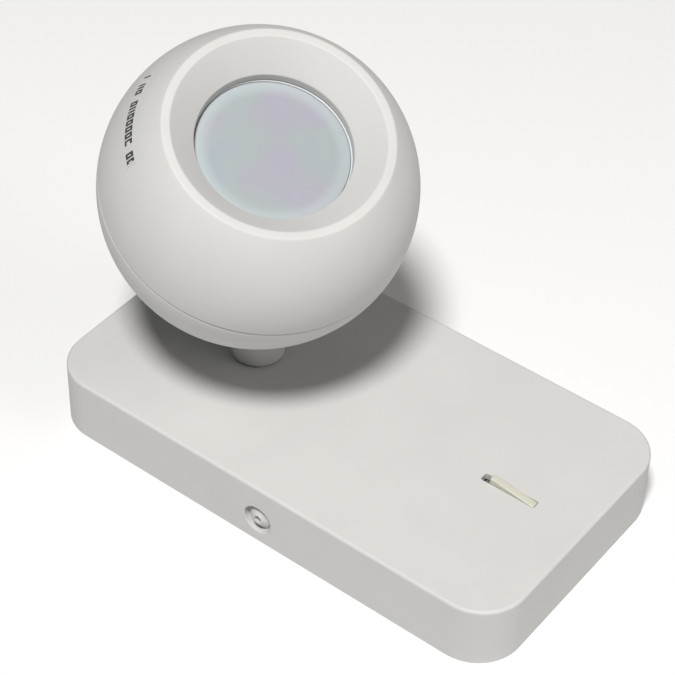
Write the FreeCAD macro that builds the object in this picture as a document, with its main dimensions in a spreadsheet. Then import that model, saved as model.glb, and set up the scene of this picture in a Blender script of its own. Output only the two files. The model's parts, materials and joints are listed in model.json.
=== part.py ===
"""Wall spotlight: a rectangular base with a rocker switch, a short stem and a ball head
that swivels, tilts and opens for a reflector lamp with a twist-lock pin base.

All lengths are in millimetres and all angles in degrees.  The row's origin is the middle
of the base's rear face, +X runs along the base towards the switch and +Z points away
from the wall.  Pieces of the stem, the head and the rocker are drawn in the frame of the
body that they belong to, and their Placement puts them in the rest pose.
"""
import FreeCAD, Part
import math
import os
import re

import Sketcher

doc = FreeCAD.newDocument("wall_spotlight")
sheet = doc.addObject("Spreadsheet::Sheet", "Sizes")
aliases = []
finished = []

FACING = {
    "X": FreeCAD.Rotation(FreeCAD.Vector(0, 1, 0), 90),
    "Y": FreeCAD.Rotation(FreeCAD.Vector(-1, 0, 0), 90),
    "Z": FreeCAD.Rotation(),
}
BOTH_SIDES = {"front": -1, "back": 1}


# ------------------------------------------------------------------ tools for drawing


def sizes(**values):
    """Write named sizes into the sheet, one to a row."""
    for name, value in values.items():
        aliases.append(name)
        row = len(aliases)
        sheet.set(f"A{row}", name)
        sheet.set(f"B{row}", str(value))
        sheet.setAlias(f"B{row}", name)
    doc.recompute()


def size(name):
    return float(getattr(sheet, name))


def formula(text):
    """Turn the bare names in a formula into references to the sheet."""
    return re.sub(r"[a-z_]+", lambda m: f"Sizes.{m[0]}" if m[0] in aliases else m[0], str(text))


def bind(item, path, text):
    item.setExpression(path, formula(text))


def move(item, x, y, z):
    for letter, text in zip("xyz", (x, y, z)):
        bind(item, f"Placement.Base.{letter}", text)
    return item


def box(x, y, z):
    """A box between the low and high formulas given for each axis."""
    item = doc.addObject("Part::Box", "box")
    for side, (low, high) in zip(("Length", "Width", "Height"), (x, y, z)):
        bind(item, side, f"({high}) - ({low})")
    return move(item, x[0], y[0], z[0])


def stand(item, axis, low, high, across):
    """Give an upright solid its height, its direction and its place across the axis."""
    bind(item, "Height", f"({high}) - ({low})")
    item.Placement = FreeCAD.Placement(FreeCAD.Vector(), FACING[axis])
    place = list(across)
    place.insert("XYZ".index(axis), low)
    return move(item, *place)


def rod(radius, axis, low, high, across=("0", "0")):
    item = doc.addObject("Part::Cylinder", "rod")
    bind(item, "Radius", radius)
    return stand(item, axis, low, high, across)


def wedge(radius, axis, low, high, start, sweep):
    """A slice of a rod about an axis of the frame, from one angle over a sweep."""
    item = rod(radius, axis, low, high)
    bind(item, "Angle", sweep)
    turn = FreeCAD.Rotation(FreeCAD.Vector(0, 0, 1), start)
    item.Placement = FreeCAD.Placement(item.Placement.Base, FACING[axis] * turn)
    return item


def hexagon(across_flats, axis, low, high, across=("0", "0")):
    item = doc.addObject("Part::Prism", "hexagon")
    item.Polygon = 6
    bind(item, "Circumradius", f"({across_flats}) / sqrt(3)")
    return stand(item, axis, low, high, across)


def cone(low_radius, high_radius, low, high):
    item = doc.addObject("Part::Cone", "cone")
    bind(item, "Radius1", low_radius)
    bind(item, "Radius2", high_radius)
    return stand(item, "Z", low, high, ("0", "0"))


def ball(radius, z="0"):
    item = doc.addObject("Part::Sphere", "ball")
    bind(item, "Radius", radius)
    return move(item, "0", "0", z)


def fuse(*items):
    union = doc.addObject("Part::MultiFuse", "union")
    union.Shapes = list(items)
    union.Refine = True
    return union


def cut(item, *tools):
    difference = doc.addObject("Part::Cut", "difference")
    difference.Base = item
    difference.Tool = fuse(*tools) if len(tools) > 1 else tools[0]
    return difference


def common(item, tool):
    shared = doc.addObject("Part::Common", "shared")
    shared.Base = item
    shared.Tool = tool
    return shared


def ring(outer, inner, axis, low, high, across=("0", "0")):
    return cut(rod(outer, axis, low, high, across), rod(inner, axis, low, high, across))


def outward(side, near, far):
    """Low and high of a stretch from near to far on the +1 or the -1 side of the middle."""
    return (near, far) if side > 0 else (f"-({far})", f"-({near})")


def origin_plane(body, role):
    return next(item for item in body.Origin.OriginFeatures if item.Role == role)


def sketch_polygon(body, plane, points):
    """A closed outline of straight lines whose corners are bound to pairs of formulas."""
    sketch = body.newObject("Sketcher::SketchObject", f"{body.Label}_outline")
    sketch.AttachmentSupport = [(origin_plane(body, plane), "")]
    sketch.MapMode = "FlatFace"
    count = len(points)
    turns = [2 * math.pi * i / count for i in range(count)]
    rough = [FreeCAD.Vector(100 + math.cos(turn), math.sin(turn), 0) for turn in turns]
    lines = [Part.LineSegment(rough[i], rough[(i + 1) % count]) for i in range(count)]
    sketch.addGeometry(lines)
    for i in range(count):
        sketch.addConstraint(Sketcher.Constraint("Coincident", i, 2, (i + 1) % count, 1))
    for i, corner in enumerate(points):
        for kind, text in zip(("DistanceX", "DistanceY"), corner):
            index = sketch.addConstraint(Sketcher.Constraint(kind, -1, 1, i, 1, 1.0))
            name = f"{kind[-1].lower()}_{i}"
            sketch.renameConstraint(index, name)
            bind(sketch, f"Constraints.{name}", text)
    return sketch


def turned(points):
    """A solid turned about Z from an outline of radius and height pairs."""
    body = doc.addObject("PartDesign::Body", "turning")
    outline = sketch_polygon(body, "XZ_Plane", points)
    doc.recompute()
    revolution = body.newObject("PartDesign::Revolution", "revolution")
    revolution.Profile = outline
    revolution.ReferenceAxis = (outline, ["V_Axis"])
    revolution.Angle = 360
    doc.recompute()
    return body


def edge_names(shape, wanted):
    return [f"Edge{i}" for i, edge in enumerate(shape.Edges, 1) if wanted(edge)]


def round_edges(body, radius, wanted):
    """Fillet the edges of a body's last feature that pass a test."""
    last = body.Tip
    fillet = body.newObject("PartDesign::Fillet", "fillet")
    fillet.Base = (last, edge_names(last.Shape, wanted))
    bind(fillet, "Radius", radius)
    doc.recompute()


def is_upright(edge):
    box_of_edge = edge.BoundBox
    return box_of_edge.XLength + box_of_edge.YLength < 0.01 < box_of_edge.ZLength


def rectangle(length, width):
    half_length = f"({length}) / 2"
    half_width = f"({width}) / 2"
    corners = ((-1, -1), (1, -1), (1, 1), (-1, 1))
    return [(f"{x} * {half_length}", f"{y} * {half_width}") for x, y in corners]


def rounded_plate(length, width, corner, height):
    """A body padded up from z = 0 with four rounded upright corners."""
    body = doc.addObject("PartDesign::Body", "plate")
    outline = sketch_polygon(body, "XY_Plane", rectangle(length, width))
    doc.recompute()
    pad = body.newObject("PartDesign::Pad", "pad")
    pad.Profile = outline
    bind(pad, "Length", height)
    doc.recompute()
    round_edges(body, corner, is_upright)
    return body


def lead(radius, points):
    """An insulated wire along straight runs joined by tangent arcs."""
    route = [FreeCAD.Vector(*point) for point in points]
    edges = []
    start = route[0]
    for before, corner, after in zip(route, route[1:], route[2:]):
        back = before - corner
        onward = after - corner
        half_turn = (math.pi - back.getAngle(onward)) / 2
        reach = 0.45 * min(back.Length, onward.Length)
        bend = reach / math.tan(half_turn)
        back.normalize()
        onward.normalize()
        middle = (back + onward).normalize() * (bend / math.cos(half_turn) - bend)
        edges.append(Part.LineSegment(start, corner + back * reach).toShape())
        arc_points = (corner + back * reach, corner + middle, corner + onward * reach)
        edges.append(Part.Arc(*arc_points).toShape())
        start = corner + onward * reach
        print(f"  lead bend radius {bend:.1f}")
    edges.append(Part.LineSegment(start, route[-1]).toShape())
    path = Part.Wire(edges)
    circle = Part.Wire(Part.Circle(route[0], route[1] - route[0], radius).toShape())
    solid = path.makePipeShell([circle], True, True)
    expected = math.pi * radius**2 * path.Length
    assert abs(solid.Volume / expected - 1) < 0.01, "a lead's solid doesn't follow its route"
    item = doc.addObject("Part::Feature", "lead")
    item.Shape = solid
    return item


# ------------------------------------------------------------------ layout of the whole

sizes(
    cover_length=178,
    cover_width=98,
    cover_height=23.5,
    stem_from_end=49.8,
    switch_from_end=28,
    stem_gap=19.2,
    ball_radius=50,
    rocker_length=16.4,
    rocker_thickness=2.7,
    swivel_rest=-25,
    tilt_rest=24.6,
    seat_gap=0.1,
    slide_gap=0.2,
    running_gap=0.08,
)

STEM_X = "(stem_from_end - cover_length / 2)"
SWITCH_X = "(cover_length / 2 - switch_from_end)"
MIDDLE_X = f"(({STEM_X} + {SWITCH_X}) / 2)"
BALL_Z = "(cover_height + stem_gap + ball_radius)"


def in_base(label, item):
    item.Label = label
    finished.append(item)


def seated(item):
    """Wrap a lone primitive, so that its own place stays apart from its body's place."""
    if item.TypeId in ("Part::Box", "Part::Cylinder"):
        wrapper = doc.addObject("Part::Compound", "piece")
        wrapper.Links = [item]
        return wrapper
    return item


def in_stem(label, item):
    """Seat a piece drawn about the stem's axis, with z = 0 at the wall."""
    item = seated(item)
    bind(item, "Placement.Base.x", STEM_X)
    bind(item, "Placement.Rotation.Yaw", "swivel_rest")
    in_base(label, item)


def in_head(label, item):
    """Seat a piece drawn about the ball's centre: Z is the light's axis, Y the tilt axis."""
    item = seated(item)
    bind(item, "Placement.Base.x", STEM_X)
    bind(item, "Placement.Base.z", BALL_Z)
    bind(item, "Placement.Rotation.Yaw", "swivel_rest")
    bind(item, "Placement.Rotation.Pitch", "tilt_rest")
    in_base(label, item)


# ------------------------------------------------------------------ stem sizes that the cover meets

sizes(
    tube_radius=4,
    tube_bore=2.8,
    stop_radius=10.5,
    stop_peg_radius=1.5,
    stop_peg_length=2.2,
)

# ------------------------------------------------------------------ base cover

sizes(
    cover_corner=16,
    cover_side=2,
    cover_top=2.5,
    cover_edge=1,
    side_screw_z=9.4,
    side_boss_radius=6.5,
    side_boss_depth=2.5,
    counterbore_radius=5.2,
    counterbore_depth=2.2,
    screw_hole_radius=2.2,
    switch_slot_length="=rocker_length + 3.2",
    switch_slot_width="=rocker_thickness + 2 * slide_gap",
)

UNDER_TOP = "(cover_height - cover_top)"
SIDE_FACE = "(cover_width / 2)"
BOSS_FACE = "(cover_width / 2 - cover_side - side_boss_depth)"
COUNTERBORE_FLOOR = "(cover_width / 2 - counterbore_depth)"


def base_cover():
    """Pressed cover, open at the back, with a screw boss in the middle of each long side."""
    body = rounded_plate("cover_length", "cover_width", "cover_corner", "cover_height")

    def is_top_outline(edge):
        return edge.BoundBox.ZMin > size("cover_height") - 0.01

    round_edges(body, "cover_edge", is_top_outline)
    hollow = rounded_plate(
        "cover_length - 2 * cover_side",
        "cover_width - 2 * cover_side",
        "cover_corner - cover_side",
        UNDER_TOP,
    )
    tray = cut(body, hollow)

    added = [rod("stop_peg_radius", "Z", f"{UNDER_TOP} - stop_peg_length", UNDER_TOP,
                 (f"{STEM_X} - stop_radius", "0"))]
    removed = [
        rod("tube_radius + slide_gap", "Z", "0", "cover_height + cover_top", (STEM_X, "0")),
        box(
            (f"{SWITCH_X} - switch_slot_length / 2", f"{SWITCH_X} + switch_slot_length / 2"),
            ("-switch_slot_width / 2", "switch_slot_width / 2"),
            ("0", "cover_height + cover_top"),
        ),
    ]
    for side in BOTH_SIDES.values():
        middle = ("0", "side_screw_z")
        low, high = outward(side, BOSS_FACE, f"{SIDE_FACE} - cover_side / 2")
        added.append(rod("side_boss_radius", "Y", low, high, middle))
        low, high = outward(side, COUNTERBORE_FLOOR, f"{SIDE_FACE} + cover_side")
        removed.append(rod("counterbore_radius", "Y", low, high, middle))
        low, high = outward(side, f"{BOSS_FACE} - cover_side", SIDE_FACE)
        removed.append(rod("screw_hole_radius", "Y", low, high, middle))
    in_base("base_cover", cut(fuse(tray, *added), *removed))


base_cover()

# ------------------------------------------------------------------ wall bracket

sizes(
    bracket_thickness=1.5,
    bracket_gap=1,
    ear_half_width=9,
    ear_top_above_screw=6.5,
    ear_gap=0.2,
    fixing_spacing=60,
    fixing_slot_length=12,
    fixing_slot_radius=2.25,
    cable_y=24,
    cable_hole_radius=6,
    block_y=-17,
    block_screw_radius=1.5,
    pole_spacing=9,
)

EAR_OUTER = f"({BOSS_FACE} - ear_gap)"
EAR_INNER = f"({EAR_OUTER} - bracket_thickness)"
BLOCK_SCREW_X = f"({MIDDLE_X} + pole_spacing / 2)"


def wall_bracket():
    """Steel plate that stays on the wall, with a tapped ear for each of the cover's screws."""
    margin = "2 * (cover_side + bracket_gap)"
    plate = rounded_plate(
        f"cover_length - {margin}",
        f"cover_width - {margin}",
        "cover_corner - cover_side - bracket_gap",
        "bracket_thickness",
    )
    ears = []
    holes = [
        rod("cable_hole_radius", "Z", "-1", "bracket_thickness + 1", (MIDDLE_X, "cable_y")),
        rod("block_screw_radius + seat_gap", "Z", "-1", "bracket_thickness + 1",
            (BLOCK_SCREW_X, "block_y")),
    ]
    for side in BOTH_SIDES.values():
        ear_top = "side_screw_z + ear_top_above_screw"
        ear_low, ear_high = outward(side, EAR_INNER, EAR_OUTER)
        ears.append(box(("-ear_half_width", "ear_half_width"), (ear_low, ear_high), ("0", ear_top)))
        holes.append(rod("screw_hole_radius", "Y", ear_low, ear_high, ("0", "side_screw_z")))
        centre = f"({side} * fixing_spacing / 2)"
        reach = "(fixing_slot_length / 2 - fixing_slot_radius)"
        holes.append(box(
            (f"{centre} - {reach}", f"{centre} + {reach}"),
            ("-fixing_slot_radius", "fixing_slot_radius"),
            ("-1", "bracket_thickness + 1"),
        ))
        for end in (-1, 1):
            holes.append(rod("fixing_slot_radius", "Z", "-1", "bracket_thickness + 1",
                             (f"{centre} + {end} * {reach}", "0")))
    in_base("wall_bracket", cut(fuse(plate, *ears), *holes))


wall_bracket()

# ------------------------------------------------------------------ cover screws and their nuts

sizes(
    side_head_radius=4.25,
    side_head_height=2,
    side_socket_flats=2.5,
    side_socket_depth=1.2,
    side_shank_radius=2,
    side_shank_length=7.6,
    side_nut_flats=7,
    side_nut_height=3.2,
)


def cover_fixings(name, side):
    """One button-headed screw in its counterbore and the weld nut behind the ear."""
    middle = ("0", "side_screw_z")
    head_top = f"({COUNTERBORE_FLOOR} + side_head_height)"
    head = rod("side_head_radius", "Y", *outward(side, COUNTERBORE_FLOOR, head_top), middle)
    shank_start = f"{COUNTERBORE_FLOOR} - side_shank_length"
    shank = rod("side_shank_radius", "Y", *outward(side, shank_start, COUNTERBORE_FLOOR), middle)
    socket = hexagon(
        "side_socket_flats", "Y", *outward(side, f"{head_top} - side_socket_depth", head_top), middle
    )
    in_base(f"cover_screw_{name}", cut(fuse(head, shank), socket))
    span = outward(side, f"{EAR_INNER} - side_nut_height", EAR_INNER)
    nut = hexagon("side_nut_flats", "Y", *span, middle)
    thread = rod("side_shank_radius + seat_gap", "Y", *span, middle)
    in_base(f"bracket_nut_{name}", cut(nut, thread))


for name, side in BOTH_SIDES.items():
    cover_fixings(name, side)

# ------------------------------------------------------------------ cable grommet

sizes(
    grommet_bore=4,
    grommet_flange_radius=8,
    grommet_flange_height=2.5,
)

GROMMET_AT = (MIDDLE_X, "cable_y")
in_base("cable_grommet", cut(
    fuse(
        rod("cable_hole_radius - seat_gap", "Z", "0", "bracket_thickness", GROMMET_AT),
        rod("grommet_flange_radius", "Z", "bracket_thickness",
            "bracket_thickness + grommet_flange_height", GROMMET_AT),
    ),
    rod("grommet_bore", "Z", "0", "bracket_thickness + grommet_flange_height", GROMMET_AT),
))

# ------------------------------------------------------------------ terminal block

sizes(
    block_length=30,
    block_width=18,
    block_height=12,
    insert_z=7,
    insert_radius=2.4,
    insert_bore=1.5,
    pole_screw_radius=1.4,
    pole_screw_height=3,
    pole_screw_offset=5.5,
    block_head_radius=2.6,
    block_head_height=1.6,
)

BLOCK_TOP = "(bracket_thickness + block_height)"
POLES = (-1, 0, 1)
BLOCK_ENDS = ("block_y - block_width / 2", "block_y + block_width / 2")


def terminal_block():
    """Three-pole screw connector on the bracket, with brass inserts that run across it."""
    holes = [rod("block_screw_radius + seat_gap", "Z", "0", BLOCK_TOP, (BLOCK_SCREW_X, "block_y"))]
    screws = []
    for pole in POLES:
        pole_x = f"{MIDDLE_X} + {pole} * pole_spacing"
        centre = (pole_x, "insert_z")
        holes.append(rod("insert_radius + seat_gap", "Y", *BLOCK_ENDS, centre))
        in_base(
            f"terminal_insert_{pole + 2}",
            ring("insert_radius", "insert_bore", "Y",
                 f"{BLOCK_ENDS[0]} + 1", f"{BLOCK_ENDS[1]} - 1", centre),
        )
        for end in (-1, 1):
            screw_at = (pole_x, f"block_y + {end} * pole_screw_offset")
            foot = "insert_z + insert_radius + seat_gap"
            holes.append(rod("pole_screw_radius + seat_gap", "Z", "insert_z", BLOCK_TOP, screw_at))
            screws.append(rod("pole_screw_radius", "Z", foot, f"{foot} + pole_screw_height", screw_at))
    block = box(
        (f"{MIDDLE_X} - block_length / 2", f"{MIDDLE_X} + block_length / 2"),
        BLOCK_ENDS,
        ("bracket_thickness", BLOCK_TOP),
    )
    in_base("terminal_block", cut(block, *holes))
    in_base("terminal_screws", fuse(*screws))
    at = (BLOCK_SCREW_X, "block_y")
    in_base("block_screw", fuse(
        rod("block_screw_radius", "Z", "seat_gap", BLOCK_TOP, at),
        rod("block_head_radius", "Z", BLOCK_TOP, f"{BLOCK_TOP} + block_head_height", at),
    ))


terminal_block()

# ------------------------------------------------------------------ earth stud on the bracket

sizes(
    earth_from_middle=26,
    earth_y=28,
    earth_stud_radius=2,
    earth_stud_height=9,
    earth_nut_flats=7,
    earth_nut_height=3.2,
    earth_tag_thickness=0.8,
    earth_tag_radius=4,
)

EARTH_X = f"({MIDDLE_X} - earth_from_middle)"
EARTH_AT = (EARTH_X, "earth_y")
TAG_TOP = "(bracket_thickness + earth_tag_thickness)"


def earth_point():
    """Weld stud, the tag of the earth lead and the nut that clamps it."""
    clear = "earth_stud_radius + seat_gap"
    in_base("earth_stud", rod("earth_stud_radius", "Z", "bracket_thickness",
                              "bracket_thickness + earth_stud_height", EARTH_AT))
    tag = fuse(
        rod("earth_tag_radius", "Z", "bracket_thickness", TAG_TOP, EARTH_AT),
        box((EARTH_X, f"{EARTH_X} + 2.5 * earth_tag_radius"),
            ("earth_y - earth_tag_radius / 2", "earth_y + earth_tag_radius / 2"),
            ("bracket_thickness", TAG_TOP)),
    )
    in_base("earth_tag", cut(tag, rod(clear, "Z", "bracket_thickness", TAG_TOP, EARTH_AT)))
    nut_top = f"{TAG_TOP} + earth_nut_height"
    in_base("earth_nut", cut(
        hexagon("earth_nut_flats", "Z", TAG_TOP, nut_top, EARTH_AT),
        rod(clear, "Z", TAG_TOP, nut_top, EARTH_AT),
    ))


earth_point()

# ------------------------------------------------------------------ rocker switch

sizes(
    rocker_pivot_depth=10,
    rocker_proud=1,
    rocker_bar_depth=7.5,
    rocker_rest=8,
    hub_radius=3.4,
    pivot_pin_radius=1,
    guide_half_width=2.2,
    guide_depth=6,
    plunger_radius=0.8,
    plunger_length=4,
    plunger_reach=7,
    housing_length=26,
    housing_width=8,
    housing_wall=2.1,
    housing_floor=1.2,
    housing_bottom=3,
    bridge_depth=7.5,
    bridge_length=15,
    bridge_width=3.2,
    bridge_thickness=0.6,
    bridge_rib_radius=0.7,
    bridge_rest=-6,
    contact_width=3,
    live_contact_offset=6.5,
)

PIVOT_Z = "(cover_height - rocker_pivot_depth)"
BRIDGE_Z = f"({PIVOT_Z} - bridge_depth)"
FLOOR_Z = "(housing_bottom + housing_floor)"
FINGER_SIDES = ("-rocker_thickness / 2", "rocker_thickness / 2")


def in_rocker(label, item, z, pitch):
    """Seat a piece drawn about the rocker's or the bridge's own pivot."""
    item = seated(item)
    move(item, SWITCH_X, "0", z)
    bind(item, "Placement.Rotation.Pitch", pitch)
    in_base(label, item)


def switch_housing():
    """Moulded box under the slot, closed by the cover's top face."""
    cavity_x = "(housing_length / 2 - housing_wall)"
    cavity_y = "(housing_width / 2 - housing_wall)"
    outer = box(
        (f"{SWITCH_X} - housing_length / 2", f"{SWITCH_X} + housing_length / 2"),
        ("-housing_width / 2", "housing_width / 2"),
        ("housing_bottom", UNDER_TOP),
    )
    cavity = box(
        (f"{SWITCH_X} - {cavity_x}", f"{SWITCH_X} + {cavity_x}"),
        (f"-{cavity_y}", cavity_y),
        (FLOOR_Z, UNDER_TOP),
    )
    pin_hole = rod("pivot_pin_radius + running_gap", "Y", "-housing_width / 2", "housing_width / 2",
                   (SWITCH_X, PIVOT_Z))
    in_base("switch_housing", cut(outer, cavity, pin_hole))
    in_base("switch_pin", rod("pivot_pin_radius", "Y", "-housing_width / 2", "housing_width / 2",
                              (SWITCH_X, PIVOT_Z)))


def switch_contacts():
    """The fixed saddle in the middle and the fixed contact at the stem's end."""
    half = "contact_width / 2"
    under_rib = f"{BRIDGE_Z} - bridge_rib_radius - slide_gap"
    under_end = f"{BRIDGE_Z} - bridge_thickness / 2 - slide_gap"
    fall = "bridge_length / 2 * sin(-bridge_rest)"
    contacts = []
    for x, top in (
        (SWITCH_X, under_rib),
        (f"({SWITCH_X} - live_contact_offset)", f"{under_end} - {fall}"),
    ):
        contacts.append(box((f"{x} - {half}", f"{x} + {half}"), (f"-{half}", half), (FLOOR_Z, top)))
    in_base("switch_contacts", fuse(*contacts))


def rocker():
    """Finger bar, hub and plunger guide in one moulding, drawn about the pivot."""
    bar_top = "rocker_pivot_depth + rocker_proud"
    bar = box(
        ("-rocker_length / 2", "rocker_length / 2"),
        FINGER_SIDES,
        (f"{bar_top} - rocker_bar_depth", bar_top),
    )
    web = box(("-guide_half_width", "guide_half_width"), FINGER_SIDES, ("-guide_depth", bar_top))
    hub = rod("hub_radius", "Y", *FINGER_SIDES)
    pivot = rod("pivot_pin_radius + running_gap", "Y", *FINGER_SIDES)
    guide = rod("plunger_radius + seat_gap", "Z", "-guide_depth", "-hub_radius / 2")
    in_rocker("switch_rocker", cut(fuse(bar, web, hub), pivot, guide), PIVOT_Z, "rocker_rest")
    tip = ball("plunger_radius", "plunger_radius - plunger_reach")
    pin = rod("plunger_radius", "Z", "plunger_radius - plunger_reach",
              "plunger_radius - plunger_reach + plunger_length")
    in_rocker("switch_plunger", fuse(tip, pin), PIVOT_Z, "rocker_rest")


def contact_bridge():
    """Brass seesaw on a round rib; the plunger tips it from one end to the other."""
    plate = box(
        ("-bridge_length / 2", "bridge_length / 2"),
        ("-bridge_width / 2", "bridge_width / 2"),
        ("-bridge_thickness / 2", "bridge_thickness / 2"),
    )
    rib = wedge("bridge_rib_radius", "Y", "-bridge_width / 2", "bridge_width / 2", 0, 180)
    in_rocker("contact_bridge", fuse(plate, rib), BRIDGE_Z, "bridge_rest")


switch_housing()
switch_contacts()
rocker()
contact_bridge()

# ------------------------------------------------------------------ stem and yoke

sizes(
    sleeve_radius=9,
    neck_radius=5.5,
    ball_gap=0.3,
    washer_radius=8.5,
    washer_thickness=0.6,
    stop_washer_thickness=0.8,
    stop_tab_reach=12.2,
    stop_tab_half_width=2,
    wave_washer_radius=7,
    swivel_nut_flats=14,
    swivel_nut_height=3.2,
    lock_nut_height=2.6,
    tube_below_nut=0.4,
    yoke_inset=5.7,
    yoke_radius="=ball_radius - yoke_inset",
    yoke_thickness=1.8,
    yoke_half_width=6.5,
    yoke_nut_flats=11,
    yoke_nut_height=2.5,
    pivot_screw_radius=2,
    lead_radius=0.9,
    lead_offset=1.3,
)

YOKE_INNER = "(yoke_radius - yoke_thickness)"
TUBE_BORE = "(tube_radius + slide_gap)"
SLEEVE_FOOT = "(cover_height + washer_thickness + 2 * seat_gap)"
TUBE_TOP = f"({BALL_Z} - {YOKE_INNER} + yoke_nut_height)"
UNDER_STACK = [
    ("under_washer", "washer_radius", "washer_thickness"),
    ("stop_washer", "washer_radius", "stop_washer_thickness"),
    ("wave_washer", "wave_washer_radius", "washer_thickness"),
]


def stem_sleeve():
    """Turned sleeve whose top is hollowed to the ball, with a neck through the ball's slot."""
    outer = cut(
        rod("sleeve_radius", "Z", SLEEVE_FOOT, f"{BALL_Z} - {YOKE_INNER}"),
        ball("ball_radius + ball_gap", BALL_Z),
    )
    neck = cut(
        rod("neck_radius", "Z", SLEEVE_FOOT, f"{BALL_Z} - {YOKE_INNER}"),
        rod("yoke_radius + seat_gap / 2", "X", "-sleeve_radius", "sleeve_radius", ("0", BALL_Z)),
    )
    bore = rod(TUBE_BORE, "Z", SLEEVE_FOOT, BALL_Z)
    in_stem("stem_sleeve", cut(fuse(outer, neck), bore))
    in_stem("sleeve_washer", ring(
        "washer_radius", TUBE_BORE, "Z",
        "cover_height + seat_gap", "cover_height + seat_gap + washer_thickness",
    ))


def yoke():
    """Half-round strap inside the ball, with a pivot hole at each end."""
    sides = ("-yoke_half_width", "yoke_half_width")
    at = ("0", BALL_Z)
    strap = cut(
        ring("yoke_radius", YOKE_INNER, "X", *sides, at),
        box(sides, ("-yoke_radius", "yoke_radius"), (BALL_Z, f"{BALL_Z} + yoke_radius")),
    )
    ends = []
    holes = [
        rod(TUBE_BORE, "Z", "cover_height", BALL_Z),
        rod("yoke_nut_flats / sqrt(3) + slide_gap", "Z", f"{BALL_Z} - {YOKE_INNER}", BALL_Z),
        rod("yoke_half_width", "Y", f"-{YOKE_INNER}", YOKE_INNER, at),
    ]
    for side in (-1, 1):
        span = outward(side, YOKE_INNER, "yoke_radius")
        ends.append(rod("yoke_half_width", "Y", *span, at))
        holes.append(rod("pivot_screw_radius + running_gap", "Y", *span, at))
    in_stem("yoke", cut(fuse(strap, *ends), *holes))
    span = (f"{BALL_Z} - {YOKE_INNER}", TUBE_TOP)
    nut = hexagon("yoke_nut_flats", "Z", *span)
    in_stem("yoke_nut", cut(nut, rod("tube_radius + seat_gap", "Z", *span)))


def swivel_stack():
    """Washers and nuts on the tube under the cover; the stop washer's tab meets the peg."""
    top = f"{UNDER_TOP} - seat_gap"
    for label, radius, thickness in UNDER_STACK:
        bottom = f"({top} - {thickness})"
        washer = rod(radius, "Z", bottom, top)
        if label == "stop_washer":
            tab = box(("tube_radius", "stop_tab_reach"),
                      ("-stop_tab_half_width", "stop_tab_half_width"), (bottom, top))
            washer = fuse(washer, tab)
        in_stem(label, cut(washer, rod(TUBE_BORE, "Z", bottom, top)))
        top = f"{bottom} - seat_gap"
    for label, height in (("swivel_nut", "swivel_nut_height"), ("lock_nut", "lock_nut_height")):
        bottom = f"({top} - {height})"
        nut = hexagon("swivel_nut_flats", "Z", bottom, top)
        in_stem(label, cut(nut, rod("tube_radius + seat_gap", "Z", bottom, top)))
        top = f"{bottom} - seat_gap"
    return f"({bottom} - tube_below_nut)"


stem_sleeve()
yoke()
TUBE_FOOT = swivel_stack()
in_stem("threaded_tube", ring("tube_radius", "tube_bore", "Z", TUBE_FOOT, TUBE_TOP))
for name, side in (("live", 1), ("neutral", -1)):
    in_stem(f"stem_lead_{name}", rod("lead_radius", "Z", TUBE_FOOT, TUBE_TOP,
                                     ("0", f"{side} * lead_offset")))

# ------------------------------------------------------------------ ball head: rear shell

sizes(
    ball_wall=2,
    seam_gap=0.3,
    spigot_gap=0.6,
    spigot_wall=1.4,
    spigot_outer="=ball_radius - ball_wall - spigot_gap",
    spigot_inner="=spigot_outer - spigot_wall",
    spigot_depth=12,
    spigot_reach=5,
    slot_half_width=5.9,
    slot_half_angle=61,
    pivot_boss_radius=6,
    pivot_washer_thickness=0.5,
    pivot_washer_radius=6,
    pivot_head_radius=3.5,
    pivot_head_height=2.4,
    pivot_screw_tip="=spigot_outer - 0.4",
    bayonet_height=2.5,
    bayonet_radius=1.2,
    bayonet_bite=0.5,
    bayonet_reach="=ball_radius - ball_wall + bayonet_bite",
    bayonet_first_angle=30,
    bayonet_turn=25,
    carrier_boss_offset="=spigot_inner - 3.5",
    carrier_boss_radius=4,
    carrier_boss_depth=11,
    carrier_face=-3.2,
    carrier_thickness=1.6,
    carrier_screw_radius=1.5,
    carrier_screw_length=6,
    carrier_head_radius=2.75,
    carrier_head_height=1.6,
)

BALL_INNER = "(ball_radius - ball_wall)"
PIVOT_PAD = "(yoke_radius + pivot_washer_thickness + seat_gap)"
PIVOT_HEAD_FACE = f"({YOKE_INNER} - seat_gap)"
BAYONET_ANGLES = [size("bayonet_first_angle") + 120 * i for i in range(3)]


def spoke(radius, near, far, height, angle):
    """A rod that points away from the light's axis at an angle about it."""
    item = rod(radius, "X", near, far, ("0", height))
    turn = FreeCAD.Rotation(FreeCAD.Vector(0, 0, 1), angle)
    radians = math.radians(angle)
    item.Placement = FreeCAD.Placement(FreeCAD.Vector(), turn * FACING["X"])
    return move(item, f"({near}) * {math.cos(radians):.12f}",
                f"({near}) * {math.sin(radians):.12f}", height)


def slot_end(side):
    """Round end of the stem's slot: a rod that leans out from the middle of the ball."""
    item = rod("slot_half_width", "Z", "0", "ball_radius / 2 + 1")
    lean = FreeCAD.Rotation(FreeCAD.Vector(0, 1, 0), 180 - side * size("slot_half_angle"))
    item.Placement = FreeCAD.Placement(FreeCAD.Vector(), lean)
    return move(item, f"ball_radius / 2 * sin({side} * slot_half_angle)", "0",
                "-ball_radius / 2 * cos(slot_half_angle)")


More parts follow.
